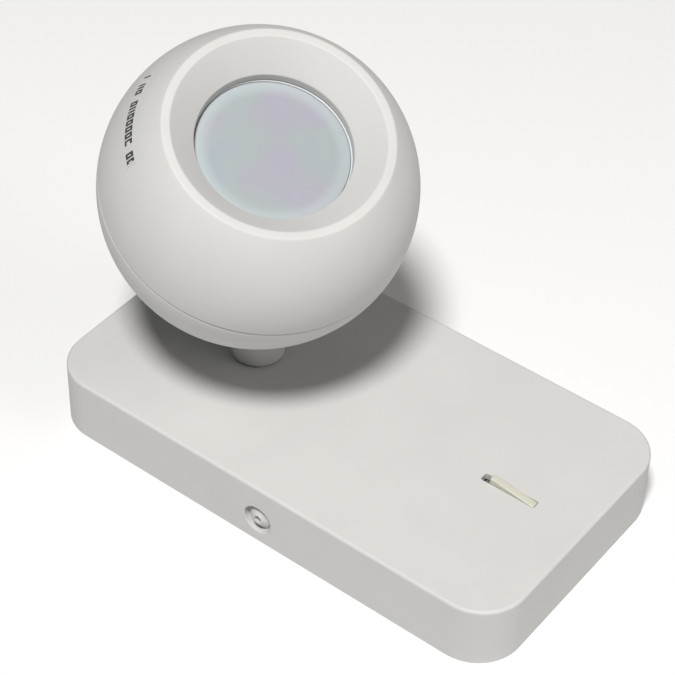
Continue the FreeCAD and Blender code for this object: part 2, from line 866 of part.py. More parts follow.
def rear_shell():
    """Rear half of the ball, with the stem's slot, pivot pads, spigot and bayonet pins."""
    half_seam = "seam_gap / 2"
    hollow_ball = cut(ball("ball_radius"), ball(BALL_INNER))
    rear_half = rod("ball_radius + 1", "Z", "-ball_radius - 1", f"-{half_seam}")
    spigot = ring("spigot_outer", "spigot_inner", "Z", "-spigot_depth", "spigot_reach")
    added = [common(hollow_ball, rear_half), spigot]
    removed = [wedge("ball_radius + 1", "Y", "-slot_half_width", "slot_half_width",
                     90 - size("slot_half_angle"), "2 * slot_half_angle")]
    for side in (-1, 1):
        pad_span = outward(side, PIVOT_PAD, BALL_INNER)
        added.append(common(rod("pivot_boss_radius", "Y", *pad_span), ball("spigot_outer")))
        thread_span = outward(side, PIVOT_PAD, "pivot_screw_tip + seat_gap")
        removed.append(rod("pivot_screw_radius + seat_gap", "Y", *thread_span))
        boss_at = (f"{side} * carrier_boss_offset", "0")
        added.append(rod("carrier_boss_radius", "Z", "-carrier_boss_depth", "carrier_face", boss_at))
        removed.append(rod("carrier_screw_radius + seat_gap", "Z",
                           "carrier_face - carrier_screw_length - 1", "carrier_face", boss_at))
        removed.append(slot_end(side))
    for angle in BAYONET_ANGLES:
        added.append(spoke("bayonet_radius", "spigot_inner", "bayonet_reach", "bayonet_height", angle))
    in_head("rear_shell", cut(fuse(*added), *removed))


def pivots(name, side):
    """Shoulder screw into the shell's pad and the friction washer outside the yoke."""
    head_span = outward(side, f"{PIVOT_HEAD_FACE} - pivot_head_height", PIVOT_HEAD_FACE)
    shank_span = outward(side, PIVOT_HEAD_FACE, "pivot_screw_tip")
    in_head(f"pivot_screw_{name}", fuse(
        rod("pivot_head_radius", "Y", *head_span),
        rod("pivot_screw_radius", "Y", *shank_span),
    ))
    washer_span = outward(side, "yoke_radius + seat_gap", PIVOT_PAD)
    in_head(f"pivot_washer_{name}", ring(
        "pivot_washer_radius", "pivot_screw_radius + seat_gap", "Y", *washer_span))


rear_shell()
for name, side in BOTH_SIDES.items():
    pivots(name, side)

# ------------------------------------------------------------------ lamp carrier and lampholder

sizes(
    carrier_outer="=spigot_inner - 8.5",
    carrier_inner=25,
    ear_reach="=spigot_inner - 0.6",
    ear_half_height=4.5,
    leg_thickness=1.6,
    leg_half_width=8,
    seat_height=-21.9,
    seat_hole_radius=9,
    holder_radius=13.5,
    holder_length=11.5,
    holder_front=2.5,
    flange_half_length=21,
    flange_half_width=7,
    flange_thickness=4,
    holder_screw_offset=17,
    holder_screw_length=5,
    pin_circle_radius=5,
    pin_stem_radius=1.6,
    pin_head_radius=2.5,
    pin_stem_length=4.4,
    pin_head_length=2.7,
    pin_gap=0.3,
    chamber_depth=7.5,
    contact_half_width=1.8,
    contact_height=1.6,
    lamp_turn=18,
    head_lead_offset=2.4,
    head_lead_depth=6,
)

SEAT_BACK = "(seat_height - carrier_thickness)"
HOLDER_BACK = f"({SEAT_BACK} - holder_length)"


def lamp_carrier():
    """Folded bracket: a ring on the shell's bosses, two legs and a seat for the lampholder."""
    top = "(carrier_face + carrier_thickness)"
    leg_outer = "(carrier_inner + leg_thickness)"
    half_width = ("-leg_half_width", "leg_half_width")
    added = [
        rod("carrier_outer", "Z", "carrier_face", top),
        box(half_width, (f"-{leg_outer}", leg_outer), (SEAT_BACK, "seat_height")),
        box(("-ear_reach", "ear_reach"), ("-ear_half_height", "ear_half_height"),
            ("carrier_face", top)),
    ]
    removed = [
        rod("carrier_inner", "Z", "carrier_face", top),
        rod("seat_hole_radius", "Z", SEAT_BACK, "seat_height"),
    ]
    for side in (-1, 1):
        added.append(box(half_width, outward(side, "carrier_inner", leg_outer), (SEAT_BACK, top)))
        removed.append(rod("carrier_screw_radius + seat_gap", "Z", "carrier_face", top,
                           (f"{side} * carrier_boss_offset", "0")))
        removed.append(rod("carrier_screw_radius + seat_gap", "Z", SEAT_BACK, "seat_height",
                           ("0", f"{side} * holder_screw_offset")))
    in_head("lamp_carrier", cut(fuse(*added), *removed))


def carrier_screws():
    top = "(carrier_face + carrier_thickness)"
    screws = []
    for side in (-1, 1):
        at = (f"{side} * carrier_boss_offset", "0")
        screws.append(rod("carrier_screw_radius", "Z", "carrier_face - carrier_screw_length", top, at))
        screws.append(rod("carrier_head_radius", "Z", top, f"{top} + carrier_head_height", at))
    in_head("carrier_screws", fuse(*screws))


def arc_channel(half_width, low, high, circle, first, sweep):
    """The space that a pin of the given half width sweeps about the light's axis."""
    outer = wedge(f"{circle} + {half_width}", "Z", low, high, first, sweep)
    inner = rod(f"{circle} - {half_width}", "Z", low, high)
    ends = []
    for angle in (first, first + size(sweep)):
        radians = math.radians(angle)
        ends.append(rod(half_width, "Z", low, high, (
            f"{circle} * {math.cos(radians):.12f}",
            f"{circle} * {math.sin(radians):.12f}",
        )))
    return fuse(cut(outer, inner), *ends)


def lampholder():
    """Ceramic holder: keyhole slots in its front and a chamber with a contact at each pin."""
    flange = box(("-flange_half_width", "flange_half_width"),
                 ("-flange_half_length", "flange_half_length"),
                 (f"{SEAT_BACK} - flange_thickness", SEAT_BACK))
    body = fuse(rod("holder_radius", "Z", HOLDER_BACK, SEAT_BACK), flange)
    removed = []
    contacts = []
    screws = []
    chamber_top = f"{SEAT_BACK} - holder_front"
    chamber_floor = f"{SEAT_BACK} - chamber_depth"
    for side in (-1, 1):
        first = 90 * side
        removed.append(arc_channel("(pin_stem_radius + pin_gap)", chamber_top, SEAT_BACK,
                                   "pin_circle_radius", first, "lamp_turn"))
        removed.append(arc_channel("(pin_head_radius + pin_gap)", chamber_floor, chamber_top,
                                   "pin_circle_radius", first, "lamp_turn"))
        open_at = math.radians(first + size("lamp_turn"))
        removed.append(rod("pin_head_radius + pin_gap", "Z", chamber_top, SEAT_BACK, (
            f"pin_circle_radius * {math.cos(open_at):.12f}",
            f"pin_circle_radius * {math.sin(open_at):.12f}",
        )))
        contacts.append(box(
            ("-contact_half_width", "contact_half_width"),
            (f"{side} * pin_circle_radius - contact_half_width",
             f"{side} * pin_circle_radius + contact_half_width"),
            (chamber_floor, f"{chamber_floor} + contact_height"),
        ))
        screw_at = ("0", f"{side} * holder_screw_offset")
        removed.append(rod("carrier_screw_radius + seat_gap", "Z",
                           f"{SEAT_BACK} - flange_thickness", SEAT_BACK, screw_at))
        screws.append(fuse(
            rod("carrier_screw_radius", "Z", f"{SEAT_BACK} - holder_screw_length + seat_gap",
                "seat_height", screw_at),
            rod("carrier_head_radius", "Z", "seat_height", "seat_height + carrier_head_height",
                screw_at),
        ))
        removed.append(rod("lead_radius + seat_gap", "X", "holder_radius / 2 + 2",
                           "holder_radius + 1",
                           (f"{side} * head_lead_offset", f"{SEAT_BACK} - head_lead_depth")))
    in_head("lampholder_body", cut(body, *removed))
    in_head("lampholder_contacts", fuse(*contacts))
    in_head("lampholder_screws", fuse(*screws))


def head_leads():
    """Two leads that leave the holder's side and point at the mouth of the stem's tube."""
    seat_back = size("seat_height") - size("carrier_thickness")
    start_height = seat_back - size("head_lead_depth")
    start = size("holder_radius") / 2 + 3
    mouth = size("yoke_radius") - size("yoke_thickness") - size("yoke_nut_height") - 0.7
    tilt = math.radians(size("tilt_rest"))
    end = (mouth * math.sin(tilt), -mouth * math.cos(tilt))
    for name, side in (("live", 1), ("neutral", -1)):
        across = side * size("head_lead_offset")
        in_head(f"head_lead_{name}", lead(size("lead_radius"), [
            (start, across, start_height),
            (end[0] - 0.7, across, start_height),
            (end[0], side * size("lead_offset"), end[1]),
        ]))


lamp_carrier()
carrier_screws()
lampholder()
head_leads()

# ------------------------------------------------------------------ ball head: front shell

sizes(
    lip_height="=0.705 * ball_radius",
    lip_inner="=0.658 * ball_radius",
    lip_round=0.9,
    dish_inner=24.4,
    dish_foot="=lip_height - lip_inner + dish_inner + 0.1",
    dish_wall=1.9,
    collar_foot=24,
    groove_gap=0.2,
    groove_depth=0.9,
    label_polar=60.5,
    label_width=4.5,
    label_length=33,
    label_angle=-122.6,
    label_thickness=0.12,
    label_gap=0.02,
)


def bayonet_groove(angle):
    """The L-shaped space that a bayonet pin takes while the front shell goes on and turns."""
    half = "(bayonet_radius + groove_gap)"
    spread = f"({half} / {BALL_INNER} * 57.3)"
    outer = f"{BALL_INNER} + groove_depth"
    run = wedge(outer, "Z", f"bayonet_height - {half}", f"bayonet_height + {half}",
                angle - size("bayonet_turn"), f"bayonet_turn + 2 * {spread}")
    entry = wedge(outer, "Z", "0", "bayonet_height",
                  angle - size("bayonet_turn"), f"2 * {spread}")
    for item in (run, entry):
        bind(item, "Placement.Rotation.Angle", f"{angle} - bayonet_turn - {spread}")
    return cut(fuse(run, entry), rod("spigot_inner", "Z", "-seam_gap", "2 * spigot_reach"))


def front_shell():
    """Front half of the ball: a flat lip, a conical dish and a collar over the lamp's rim."""
    half_seam = "seam_gap / 2"
    collar_outer = "(dish_inner + dish_wall)"
    cone_shift = "(dish_wall * (sqrt(2) - 1))"
    back_foot = f"(dish_foot - {cone_shift})"
    back_radius = f"({collar_outer} + lip_height - {back_foot})"
    shell = cut(ball("ball_radius"), ball(BALL_INNER))
    funnel = fuse(
        rod(collar_outer, "Z", "collar_foot", "lip_height"),
        cone(collar_outer, back_radius, back_foot, "lip_height"),
    )
    outside = fuse(
        common(shell, rod("ball_radius + 1", "Z", half_seam, "lip_height")),
        common(funnel, ball("(ball_radius + ball_radius - ball_wall) / 2")),
    )
    removed = [
        cone("dish_inner", "lip_inner", "dish_foot", "lip_height"),
        rod("dish_inner", "Z", "collar_foot", "dish_foot"),
    ]
    for angle in BAYONET_ANGLES:
        removed.append(bayonet_groove(angle))
    sharp = cut(outside, *removed)
    doc.recompute()
    fillet = doc.addObject("Part::Fillet", "lip_fillet")
    fillet.Base = sharp

    def is_lip_edge(edge):
        return edge.BoundBox.ZMin > size("lip_height") - 0.01

    radius = size("lip_round")
    numbers = [int(name[4:]) for name in edge_names(sharp.Shape, is_lip_edge)]
    fillet.Edges = [(number, radius, radius) for number in numbers]
    in_head("front_shell", fillet)


def rating_label():
    """Thin printed label that follows a parallel circle round the light's axis."""
    outer = "ball_radius + label_gap + label_thickness"
    skin = cut(ball(outer), ball("ball_radius + label_gap"))
    polar = math.radians(size("label_polar"))
    half_band = size("label_width") / 2 / size("ball_radius")
    low = f"ball_radius * {math.cos(polar + half_band):.6f}"
    high = f"ball_radius * {math.cos(polar - half_band):.6f}"
    sweep = math.degrees(size("label_length") / (size("ball_radius") * math.sin(polar)))
    patch = wedge(outer, "Z", low, high, size("label_angle") - sweep / 2, sweep)
    in_head("rating_label", common(skin, patch))


front_shell()
rating_label()

# ------------------------------------------------------------------ reflector lamp

sizes(
    lamp_radius=25,
    lamp_front=23.5,
    bezel_depth=4,
    bezel_width=2,
    lens_front=22.5,
    lens_thickness=1.7,
    lamp_wall=1.6,
    lamp_rim_depth=6,
    base_radius=12.6,
    base_top=-9.5,
    base_foot=-21.7,
    board_thickness=1.6,
    board_below_rim=2,
    board_edge_gap=1,
    chip_size=3,
    chip_thickness=0.7,
    chip_circle_radius=13,
)

CHIP_COUNT = 6


def lamp():
    """Twist-lock reflector lamp: rim, lens, finned cup, light board, cap and two pins."""
    rim_foot = "(lamp_front - bezel_depth)"
    cup_top = f"({rim_foot} - seat_gap)"
    in_head("lamp_bezel", ring("lamp_radius", "lamp_radius - bezel_width", "Z",
                               rim_foot, "lamp_front"))
    in_head("lamp_lens", rod("lamp_radius - bezel_width - seat_gap", "Z",
                             "lens_front - lens_thickness", "lens_front"))
    shoulder = "(lamp_front - lamp_rim_depth)"
    outer = "lamp_radius - bezel_width / 4"
    inner = "lamp_radius - bezel_width - seat_gap"
    floor = "base_top + lamp_wall"
    in_head("lamp_body", turned([
        ("0", "base_top"),
        ("base_radius", "base_top"),
        (outer, shoulder),
        (outer, cup_top),
        (inner, cup_top),
        (inner, shoulder),
        ("base_radius - lamp_wall", floor),
        ("0", floor),
    ]))
    board_top = f"({cup_top} - board_below_rim)"
    board_bottom = f"({board_top} - board_thickness)"
    in_head("led_board", rod(f"{inner} - board_edge_gap", "Z", board_bottom, board_top))
    chips = [box(("-chip_size / 2", "chip_size / 2"), ("-chip_size / 2", "chip_size / 2"),
                 (board_top, f"{board_top} + chip_thickness"))]
    for i in range(CHIP_COUNT):
        angle = 2 * math.pi * i / CHIP_COUNT
        x = f"chip_circle_radius * {math.cos(angle):.12f}"
        y = f"chip_circle_radius * {math.sin(angle):.12f}"
        chips.append(box((f"{x} - chip_size / 2", f"{x} + chip_size / 2"),
                         (f"{y} - chip_size / 2", f"{y} + chip_size / 2"),
                         (board_top, f"{board_top} + chip_thickness")))
    in_head("led_chips", fuse(*chips))
    in_head("lamp_base", rod("base_radius", "Z", "base_foot", "base_top"))
    pins = []
    for side in (-1, 1):
        at = ("0", f"{side} * pin_circle_radius")
        neck = "(base_foot - pin_stem_length)"
        pins.append(rod("pin_stem_radius", "Z", neck, "base_foot", at))
        pins.append(rod("pin_head_radius", "Z", f"{neck} - pin_head_length", neck, at))
    in_head("lamp_pins", fuse(*pins))


lamp()

# ------------------------------------------------------------------ leads in the base


def base_leads():
    """Leads from the terminal block to the switch, the earth stud and the stem's tube."""
    doc.recompute()
    radius = size("lead_radius")
    stem_x = size("stem_from_end") - size("cover_length") / 2
    switch_x = size("cover_length") / 2 - size("switch_from_end")
    middle_x = (stem_x + switch_x) / 2
    housing_end = switch_x - size("housing_length") / 2
    block_front = size("block_y") - size("block_width") / 2
    insert_z = size("insert_z")
    pole = size("pole_spacing")
    swivel = math.radians(size("swivel_rest"))
    tube_x = -size("lead_offset") * math.sin(swivel)
    tube_y = size("lead_offset") * math.cos(swivel)
    tube_foot = doc.getObjectsByLabel("threaded_tube")[0].Shape.BoundBox.ZMin - 0.3
    earth_x = middle_x - size("earth_from_middle")
    tag_top = size("bracket_thickness") + size("earth_tag_thickness")
    low = size("bracket_thickness") + 2 * radius

    in_base("lead_feed", lead(radius, [
        (middle_x + pole, block_front + 2, insert_z),
        (middle_x + pole, block_front - 5, insert_z),
        (middle_x + pole + 6, block_front - 9, insert_z),
        (housing_end - 13, block_front - 5, insert_z),
        (housing_end - 8, block_front + 7, insert_z),
        (housing_end - 7, -2.5, insert_z + 1),
        (housing_end - 0.2, -2, insert_z + 1),
    ]))
    in_base("lead_live", lead(radius, [
        (housing_end - 0.2, 2, insert_z + 1),
        (housing_end - 8, 2.5, insert_z + 0.5),
        (middle_x + 14, 8, low + 1),
        (middle_x - 5, 9, low),
        (stem_x + 28, 7, low),
        (stem_x + 12, 4.5, low),
        (stem_x + tube_x, tube_y, low),
        (stem_x + tube_x, tube_y, tube_foot),
    ]))
    in_base("lead_neutral", lead(radius, [
        (middle_x - pole, block_front + 2, insert_z),
        (middle_x - pole, block_front - 5, insert_z),
        (middle_x - pole - 7, block_front - 8, insert_z - 1),
        (stem_x + 22, block_front - 3, low + 1),
        (stem_x + 9, block_front + 10, low),
        (stem_x - tube_x, -tube_y, low),
        (stem_x - tube_x, -tube_y, tube_foot),
    ]))

    in_base("lead_earth", lead(radius, [
        (middle_x, block_front + size("block_width") - 2, insert_z),
        (middle_x, block_front + size("block_width") + 6, insert_z),
        (middle_x - 6, size("earth_y") - 12, insert_z - 1),
        (earth_x + 12, size("earth_y"), tag_top + radius),
        (earth_x + 7, size("earth_y"), tag_top + radius),
    ]))


base_leads()

# ------------------------------------------------------------------ check and write

doc.recompute()
for item in doc.Objects:
    assert not {"Invalid", "Error"} & set(item.State), f"{item.Label} is {item.State}"
os.makedirs("parts", exist_ok=True)
for item in finished:
    shape = item.Shape
    assert not shape.isNull() and shape.isValid(), f"{item.Label} has no valid shape"
    shape.exportStep(os.path.join("parts", f"{item.Label}.step"))
    print(f"{item.Label}: {len(shape.Solids)} solid, {shape.Volume:.1f} mm3")
print(f"{len(finished)} pieces")
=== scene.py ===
import json
import math

import bpy
from mathutils import Matrix, Vector


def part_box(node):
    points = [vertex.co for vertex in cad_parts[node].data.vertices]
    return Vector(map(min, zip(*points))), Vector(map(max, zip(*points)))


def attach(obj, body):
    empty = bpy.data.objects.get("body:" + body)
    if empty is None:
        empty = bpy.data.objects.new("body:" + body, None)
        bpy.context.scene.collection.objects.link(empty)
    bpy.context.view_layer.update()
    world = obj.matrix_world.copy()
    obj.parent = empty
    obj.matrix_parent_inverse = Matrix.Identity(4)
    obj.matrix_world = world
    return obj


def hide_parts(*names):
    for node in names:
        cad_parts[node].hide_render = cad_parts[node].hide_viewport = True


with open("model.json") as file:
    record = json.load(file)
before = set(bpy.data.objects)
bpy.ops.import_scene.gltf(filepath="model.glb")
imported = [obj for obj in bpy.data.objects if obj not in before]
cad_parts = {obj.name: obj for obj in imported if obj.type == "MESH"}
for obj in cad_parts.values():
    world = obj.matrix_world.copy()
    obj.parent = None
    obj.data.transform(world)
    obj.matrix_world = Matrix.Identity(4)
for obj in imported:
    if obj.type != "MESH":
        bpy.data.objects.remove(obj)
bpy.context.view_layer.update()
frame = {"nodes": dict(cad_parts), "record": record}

# ---------------------------------------------------------------- studio
# A pale floor under the base, a high key light just left of the camera, a weaker and
# wider one from the right and a faint even surround.  The camera looks down at the
# switch end of the base from the front right.

joints = {joint["name"]: joint for joint in frame["record"]["behaviour"]["joints"]}
stem_x = joints["head_swivel"]["pos_m"][0]
cover_low, cover_high = (Vector(corner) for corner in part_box("base_cover"))
plate_top = cover_high.z


def direction(azimuth, elevation):
    """The unit vector from the object towards a viewer or a light."""
    azimuth, elevation = math.radians(azimuth), math.radians(elevation)
    flat = math.cos(elevation)
    return Vector((math.sin(azimuth) * flat, -math.cos(azimuth) * flat, math.sin(elevation)))


def aim(thing, azimuth, elevation, distance, target):
    towards = direction(azimuth, elevation)
    thing.location = target + towards * distance
    thing.rotation_euler = towards.to_track_quat("Z", "Y").to_euler()


def add_camera():
    data = bpy.data.cameras.new("camera")
    data.sensor_width = 36.0
    data.lens = 118.39
    data.shift_x = 0.1174
    data.shift_y = 0.0181
    camera = bpy.data.objects.new("camera", data)
    bpy.context.scene.collection.objects.link(camera)
    aim(camera, 38.97, 43.65, 0.7334, Vector((stem_x, 0, plate_top)))
    bpy.context.scene.camera = camera


def add_light(name, azimuth, elevation, distance, size, power, tint):
    data = bpy.data.lights.new(name, "AREA")
    data.shape = "DISK"
    data.size = size
    data.energy = power
    data.color = tint
    light = bpy.data.objects.new(name, data)
    bpy.context.scene.collection.objects.link(light)
    aim(light, azimuth, elevation, distance, Vector((0, 0, plate_top)))


def add_surround():
    world = bpy.data.worlds.new("surround")
    world.use_nodes = True
    background = world.node_tree.nodes["Background"]
    background.inputs["Color"].default_value = (0.97, 0.985, 1.0, 1.0)
    background.inputs["Strength"].default_value = 0.13
    bpy.context.scene.world = world
    bpy.context.scene.view_settings.view_transform = "Standard"


def deselect():
    bpy.ops.object.select_all(action="DESELECT")


def add_floor():
    deselect()
    bpy.ops.mesh.primitive_plane_add(size=8, location=(0, 0, 0))
    floor = bpy.context.object
    floor.name = "studio_floor"
    material = bpy.data.materials.new("studio_paper")
    material.use_nodes = True
    shader = material.node_tree.nodes["Principled BSDF"]
    shader.inputs["Base Color"].default_value = (0.68, 0.68, 0.685, 1)
    shader.inputs["Roughness"].default_value = 0.9
    floor.data.materials.append(material)


add_camera()
add_surround()
add_floor()
add_light("key", 24, 65, 2.4, 0.45, 77, (1.0, 0.99, 0.97))
add_light("side", 105, 35, 2.4, 1.4, 14, (1.0, 0.97, 0.91))

# ---------------------------------------------------------------- frame of the ball head
# The ball turns on its own centre.  Its X points from the light's axis towards the
# side that dips, its Y lies along the tilt screws and its Z is the light's axis.

ball_centre = Vector(joints["head_tilt"]["pos_m"])
tilt_axis = Vector(joints["head_tilt"]["axis"]).normalized()
light_axis = Vector(joints["front_twist"]["axis"]).normalized()
dip_axis = tilt_axis.cross(light_axis)
head_turn = Matrix((dip_axis, tilt_axis, light_axis)).transposed().to_4x4()
head_place = Matrix.Translation(ball_centre) @ head_turn
millimetre = 0.001


def on_head(height):
    return ball_centre + light_axis * height


# ---------------------------------------------------------------- paint and its grain
# All the outside metal has one fine matt white powder coat, sprayed and baked after
# forming, so its grain runs over every edge.


def new_group(name, inputs, outputs):
    group = bpy.data.node_groups.new(name, "ShaderNodeTree")
    for label, kind, value in inputs:
        socket = group.interface.new_socket(label, in_out="INPUT", socket_type=kind)
        socket.default_value = value
    for label, kind in outputs:
        group.interface.new_socket(label, in_out="OUTPUT", socket_type=kind)
    return group, group.nodes.new("NodeGroupInput"), group.nodes.new("NodeGroupOutput")


def build_grain():
    """Group: a fine pitted height, a slow mottle of the colour and a roughness."""
    group, given, result = new_group(
        "grain",
        [
            ("Color", "NodeSocketColor", (0.8, 0.8, 0.8, 1)),
            ("Mottle", "NodeSocketFloat", 0.03),
            ("Fine Scale", "NodeSocketFloat", 1500.0),
            ("Broad Scale", "NodeSocketFloat", 60.0),
            ("Roughness", "NodeSocketFloat", 0.5),
            ("Roughness Spread", "NodeSocketFloat", 0.1),
        ],
        [
            ("Color", "NodeSocketColor"),
            ("Roughness", "NodeSocketFloat"),
            ("Height", "NodeSocketFloat"),
        ],
    )
    nodes, links = group.nodes, group.links
    place = nodes.new("ShaderNodeTexCoord")
    fine = nodes.new("ShaderNodeTexNoise")
    fine.inputs["Detail"].default_value = 3.0
    broad = nodes.new("ShaderNodeTexNoise")
    broad.inputs["Detail"].default_value = 4.0
    shade = nodes.new("ShaderNodeMapRange")
    shade.inputs["From Min"].default_value = 0.3
    shade.inputs["From Max"].default_value = 0.7
    shade.inputs["To Max"].default_value = 1.0
    darker = nodes.new("ShaderNodeMath")
    darker.operation = "SUBTRACT"
    darker.inputs[0].default_value = 1.0
    tint = nodes.new("ShaderNodeVectorMath")
    tint.operation = "SCALE"
    spread = nodes.new("ShaderNodeMath")
    spread.operation = "MULTIPLY_ADD"
    for noise, scale in ((fine, "Fine Scale"), (broad, "Broad Scale")):
        links.new(place.outputs["Object"], noise.inputs["Vector"])
        links.new(given.outputs[scale], noise.inputs["Scale"])
    links.new(broad.outputs["Fac"], shade.inputs["Value"])
    links.new(given.outputs["Mottle"], darker.inputs[1])
    links.new(darker.outputs[0], shade.inputs["To Min"])
    links.new(given.outputs["Color"], tint.inputs[0])
    links.new(shade.outputs["Result"], tint.inputs["Scale"])
    links.new(tint.outputs["Vector"], result.inputs["Color"])
    links.new(fine.outputs["Fac"], spread.inputs[0])
    links.new(given.outputs["Roughness Spread"], spread.inputs[1])
    links.new(given.outputs["Roughness"], spread.inputs[2])
    links.new(spread.outputs[0], result.inputs["Roughness"])
    links.new(fine.outputs["Fac"], result.inputs["Height"])
    return group


grain = build_grain()


def finish_of(name, colour, roughness, metallic=0.0, mottle=0.03, fine=1500.0, broad=60.0,
              spread=0.1, bump=0.15, depth=0.00005):
    """A material with the grain group feeding its colour, roughness and bump."""
    material = bpy.data.materials.new(name)
    material.use_nodes = True
    nodes, links = material.node_tree.nodes, material.node_tree.links
    shader = nodes["Principled BSDF"]
    shader.inputs["Metallic"].default_value = metallic
    texture = nodes.new("ShaderNodeGroup")
    texture.node_tree = grain
    texture.inputs["Color"].default_value = (*colour, 1)
    texture.inputs["Mottle"].default_value = mottle
    texture.inputs["Fine Scale"].default_value = fine
    texture.inputs["Broad Scale"].default_value = broad
    texture.inputs["Roughness"].default_value = roughness
    texture.inputs["Roughness Spread"].default_value = spread
    relief = nodes.new("ShaderNodeBump")
    relief.inputs["Strength"].default_value = bump
    relief.inputs["Distance"].default_value = depth
    links.new(texture.outputs["Color"], shader.inputs["Base Color"])
    links.new(texture.outputs["Roughness"], shader.inputs["Roughness"])
    links.new(texture.outputs["Height"], relief.inputs["Height"])
    links.new(relief.outputs["Normal"], shader.inputs["Normal"])
    return material


powder_coat = finish_of("powder_coat", (0.48, 0.478, 0.468), 0.55, mottle=0.04, fine=1400.0,
                        broad=45.0, spread=0.12, bump=0.35, depth=0.00006)

# ---------------------------------------------------------------- base cover
# A deep-drawn aluminium tray, open at the wall, painted.  It has a round hole for the
# stem, a narrow slot for the switch and a sunk screw in the middle of each long side.

cover_corner = 16 * millimetre
cover_edge = 1.1 * millimetre
cover_wall = 2 * millimetre
cover_face = 2.5 * millimetre


def take(piece):
    """Make one piece the only selected and the active one."""
    deselect()
    piece.select_set(True)
    bpy.context.view_layer.objects.active = piece


def edit(piece, mode="EDGE"):
    """Open a piece in edit mode with nothing selected."""
    take(piece)
    bpy.ops.object.mode_set(mode="EDIT")
    bpy.ops.mesh.select_mode(type=mode)
    bpy.ops.mesh.select_all(action="DESELECT")


def choose(piece, kind, test):
    """Select the edges or faces of the open piece that pass a test."""
    bpy.ops.mesh.select_all(action="DESELECT")
    bpy.ops.object.mode_set(mode="OBJECT")
    for element in getattr(piece.data, kind):
        element.select = test(element)
    bpy.ops.object.mode_set(mode="EDIT")


def close():
    bpy.ops.object.mode_set(mode="OBJECT")


def apply_place(piece, place=None):
    """Put the piece's place into its mesh, so that its object sits at the origin."""
    if place is not None:
        piece.matrix_world = place @ piece.matrix_world
    take(piece)
    bpy.ops.object.transform_apply(location=True, rotation=True, scale=True)


def name_new(name):
    piece = bpy.context.object
    piece.name = name
    piece.data.name = name
    return piece


def corners_of(piece, edge):
    return [piece.data.vertices[index].co for index in edge.vertices]


def block(name, low, high, corner, segments, edge=0.0, edge_test=None):
    """A box with rounded upright corners and, where asked, softened edges."""
    deselect()
    bpy.ops.mesh.primitive_cube_add(size=1, location=(Vector(low) + Vector(high)) / 2)
    piece = name_new(name)
    piece.scale = Vector(high) - Vector(low)
    apply_place(piece)
    edit(piece)

    def is_upright(item):
        first, second = corners_of(piece, item)
        return abs(first.z - second.z) > 0.9 * (high[2] - low[2])

    if corner:
        choose(piece, "edges", is_upright)
        bpy.ops.mesh.bevel(offset=corner, segments=segments, affect="EDGES")
    if edge:
        choose(piece, "edges", lambda item: edge_test(*corners_of(piece, item)))
        bpy.ops.mesh.bevel(offset=edge, segments=4, affect="EDGES")
    close()
    return piece


def rod(name, radius, axis, low, high, across, segments=64):
    """A cylinder along X, Y or Z between two heights."""
    place = list(across)
    place.insert("XYZ".index(axis), (low + high) / 2)
    turn = {"X": (0, math.pi / 2, 0), "Y": (math.pi / 2, 0, 0), "Z": (0, 0, 0)}[axis]
    deselect()
    bpy.ops.mesh.primitive_cylinder_add(vertices=segments, radius=radius, depth=high - low,
                                        location=place, rotation=turn)
    piece = name_new(name)
    apply_place(piece)
    return piece


def combine(piece, tool, operation="DIFFERENCE"):
    """Apply a boolean and throw its tool away."""
    modifier = piece.modifiers.new("boolean", "BOOLEAN")
    modifier.operation = operation
    modifier.object = tool
    modifier.solver = "EXACT"
    take(piece)
    bpy.ops.object.modifier_apply(modifier="boolean")
    bpy.data.objects.remove(tool)


def smooth(piece, degrees=35):
    take(piece)
    bpy.ops.object.shade_smooth_by_angle(angle=math.radians(degrees))


def flatten_faces(piece):
    """Weight the normals by area, so that broad faces stay flat up to their soft edges."""
    modifier = piece.modifiers.new("weighted", "WEIGHTED_NORMAL")
    modifier.weight = 100
    modifier.keep_sharp = True
    take(piece)
    bpy.ops.object.modifier_apply(modifier="weighted")


def belongs(piece, body, material, slot, *nodes):
    """Give a finished piece its material and its body, and hide the nodes it stands for; the slot
    argument is not used.
    """
    piece.data.materials.clear()
    piece.data.materials.append(material)
    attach(piece, body)
    if nodes:
        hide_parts(*nodes)


screw_low, screw_high = (Vector(corner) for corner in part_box("cover_screw_front"))
screw_z = (screw_low.z + screw_high.z) / 2
slot_length = 19.6 * millimetre
slot_width = 3.1 * millimetre
stem_hole = 4.2 * millimetre
boss_radius = 6.5 * millimetre
sink_radius = 5.2 * millimetre
hole_radius = 2.2 * millimetre
nearly = 1e-6
switch_x = joints["rocker_tip"]["pos_m"][0]


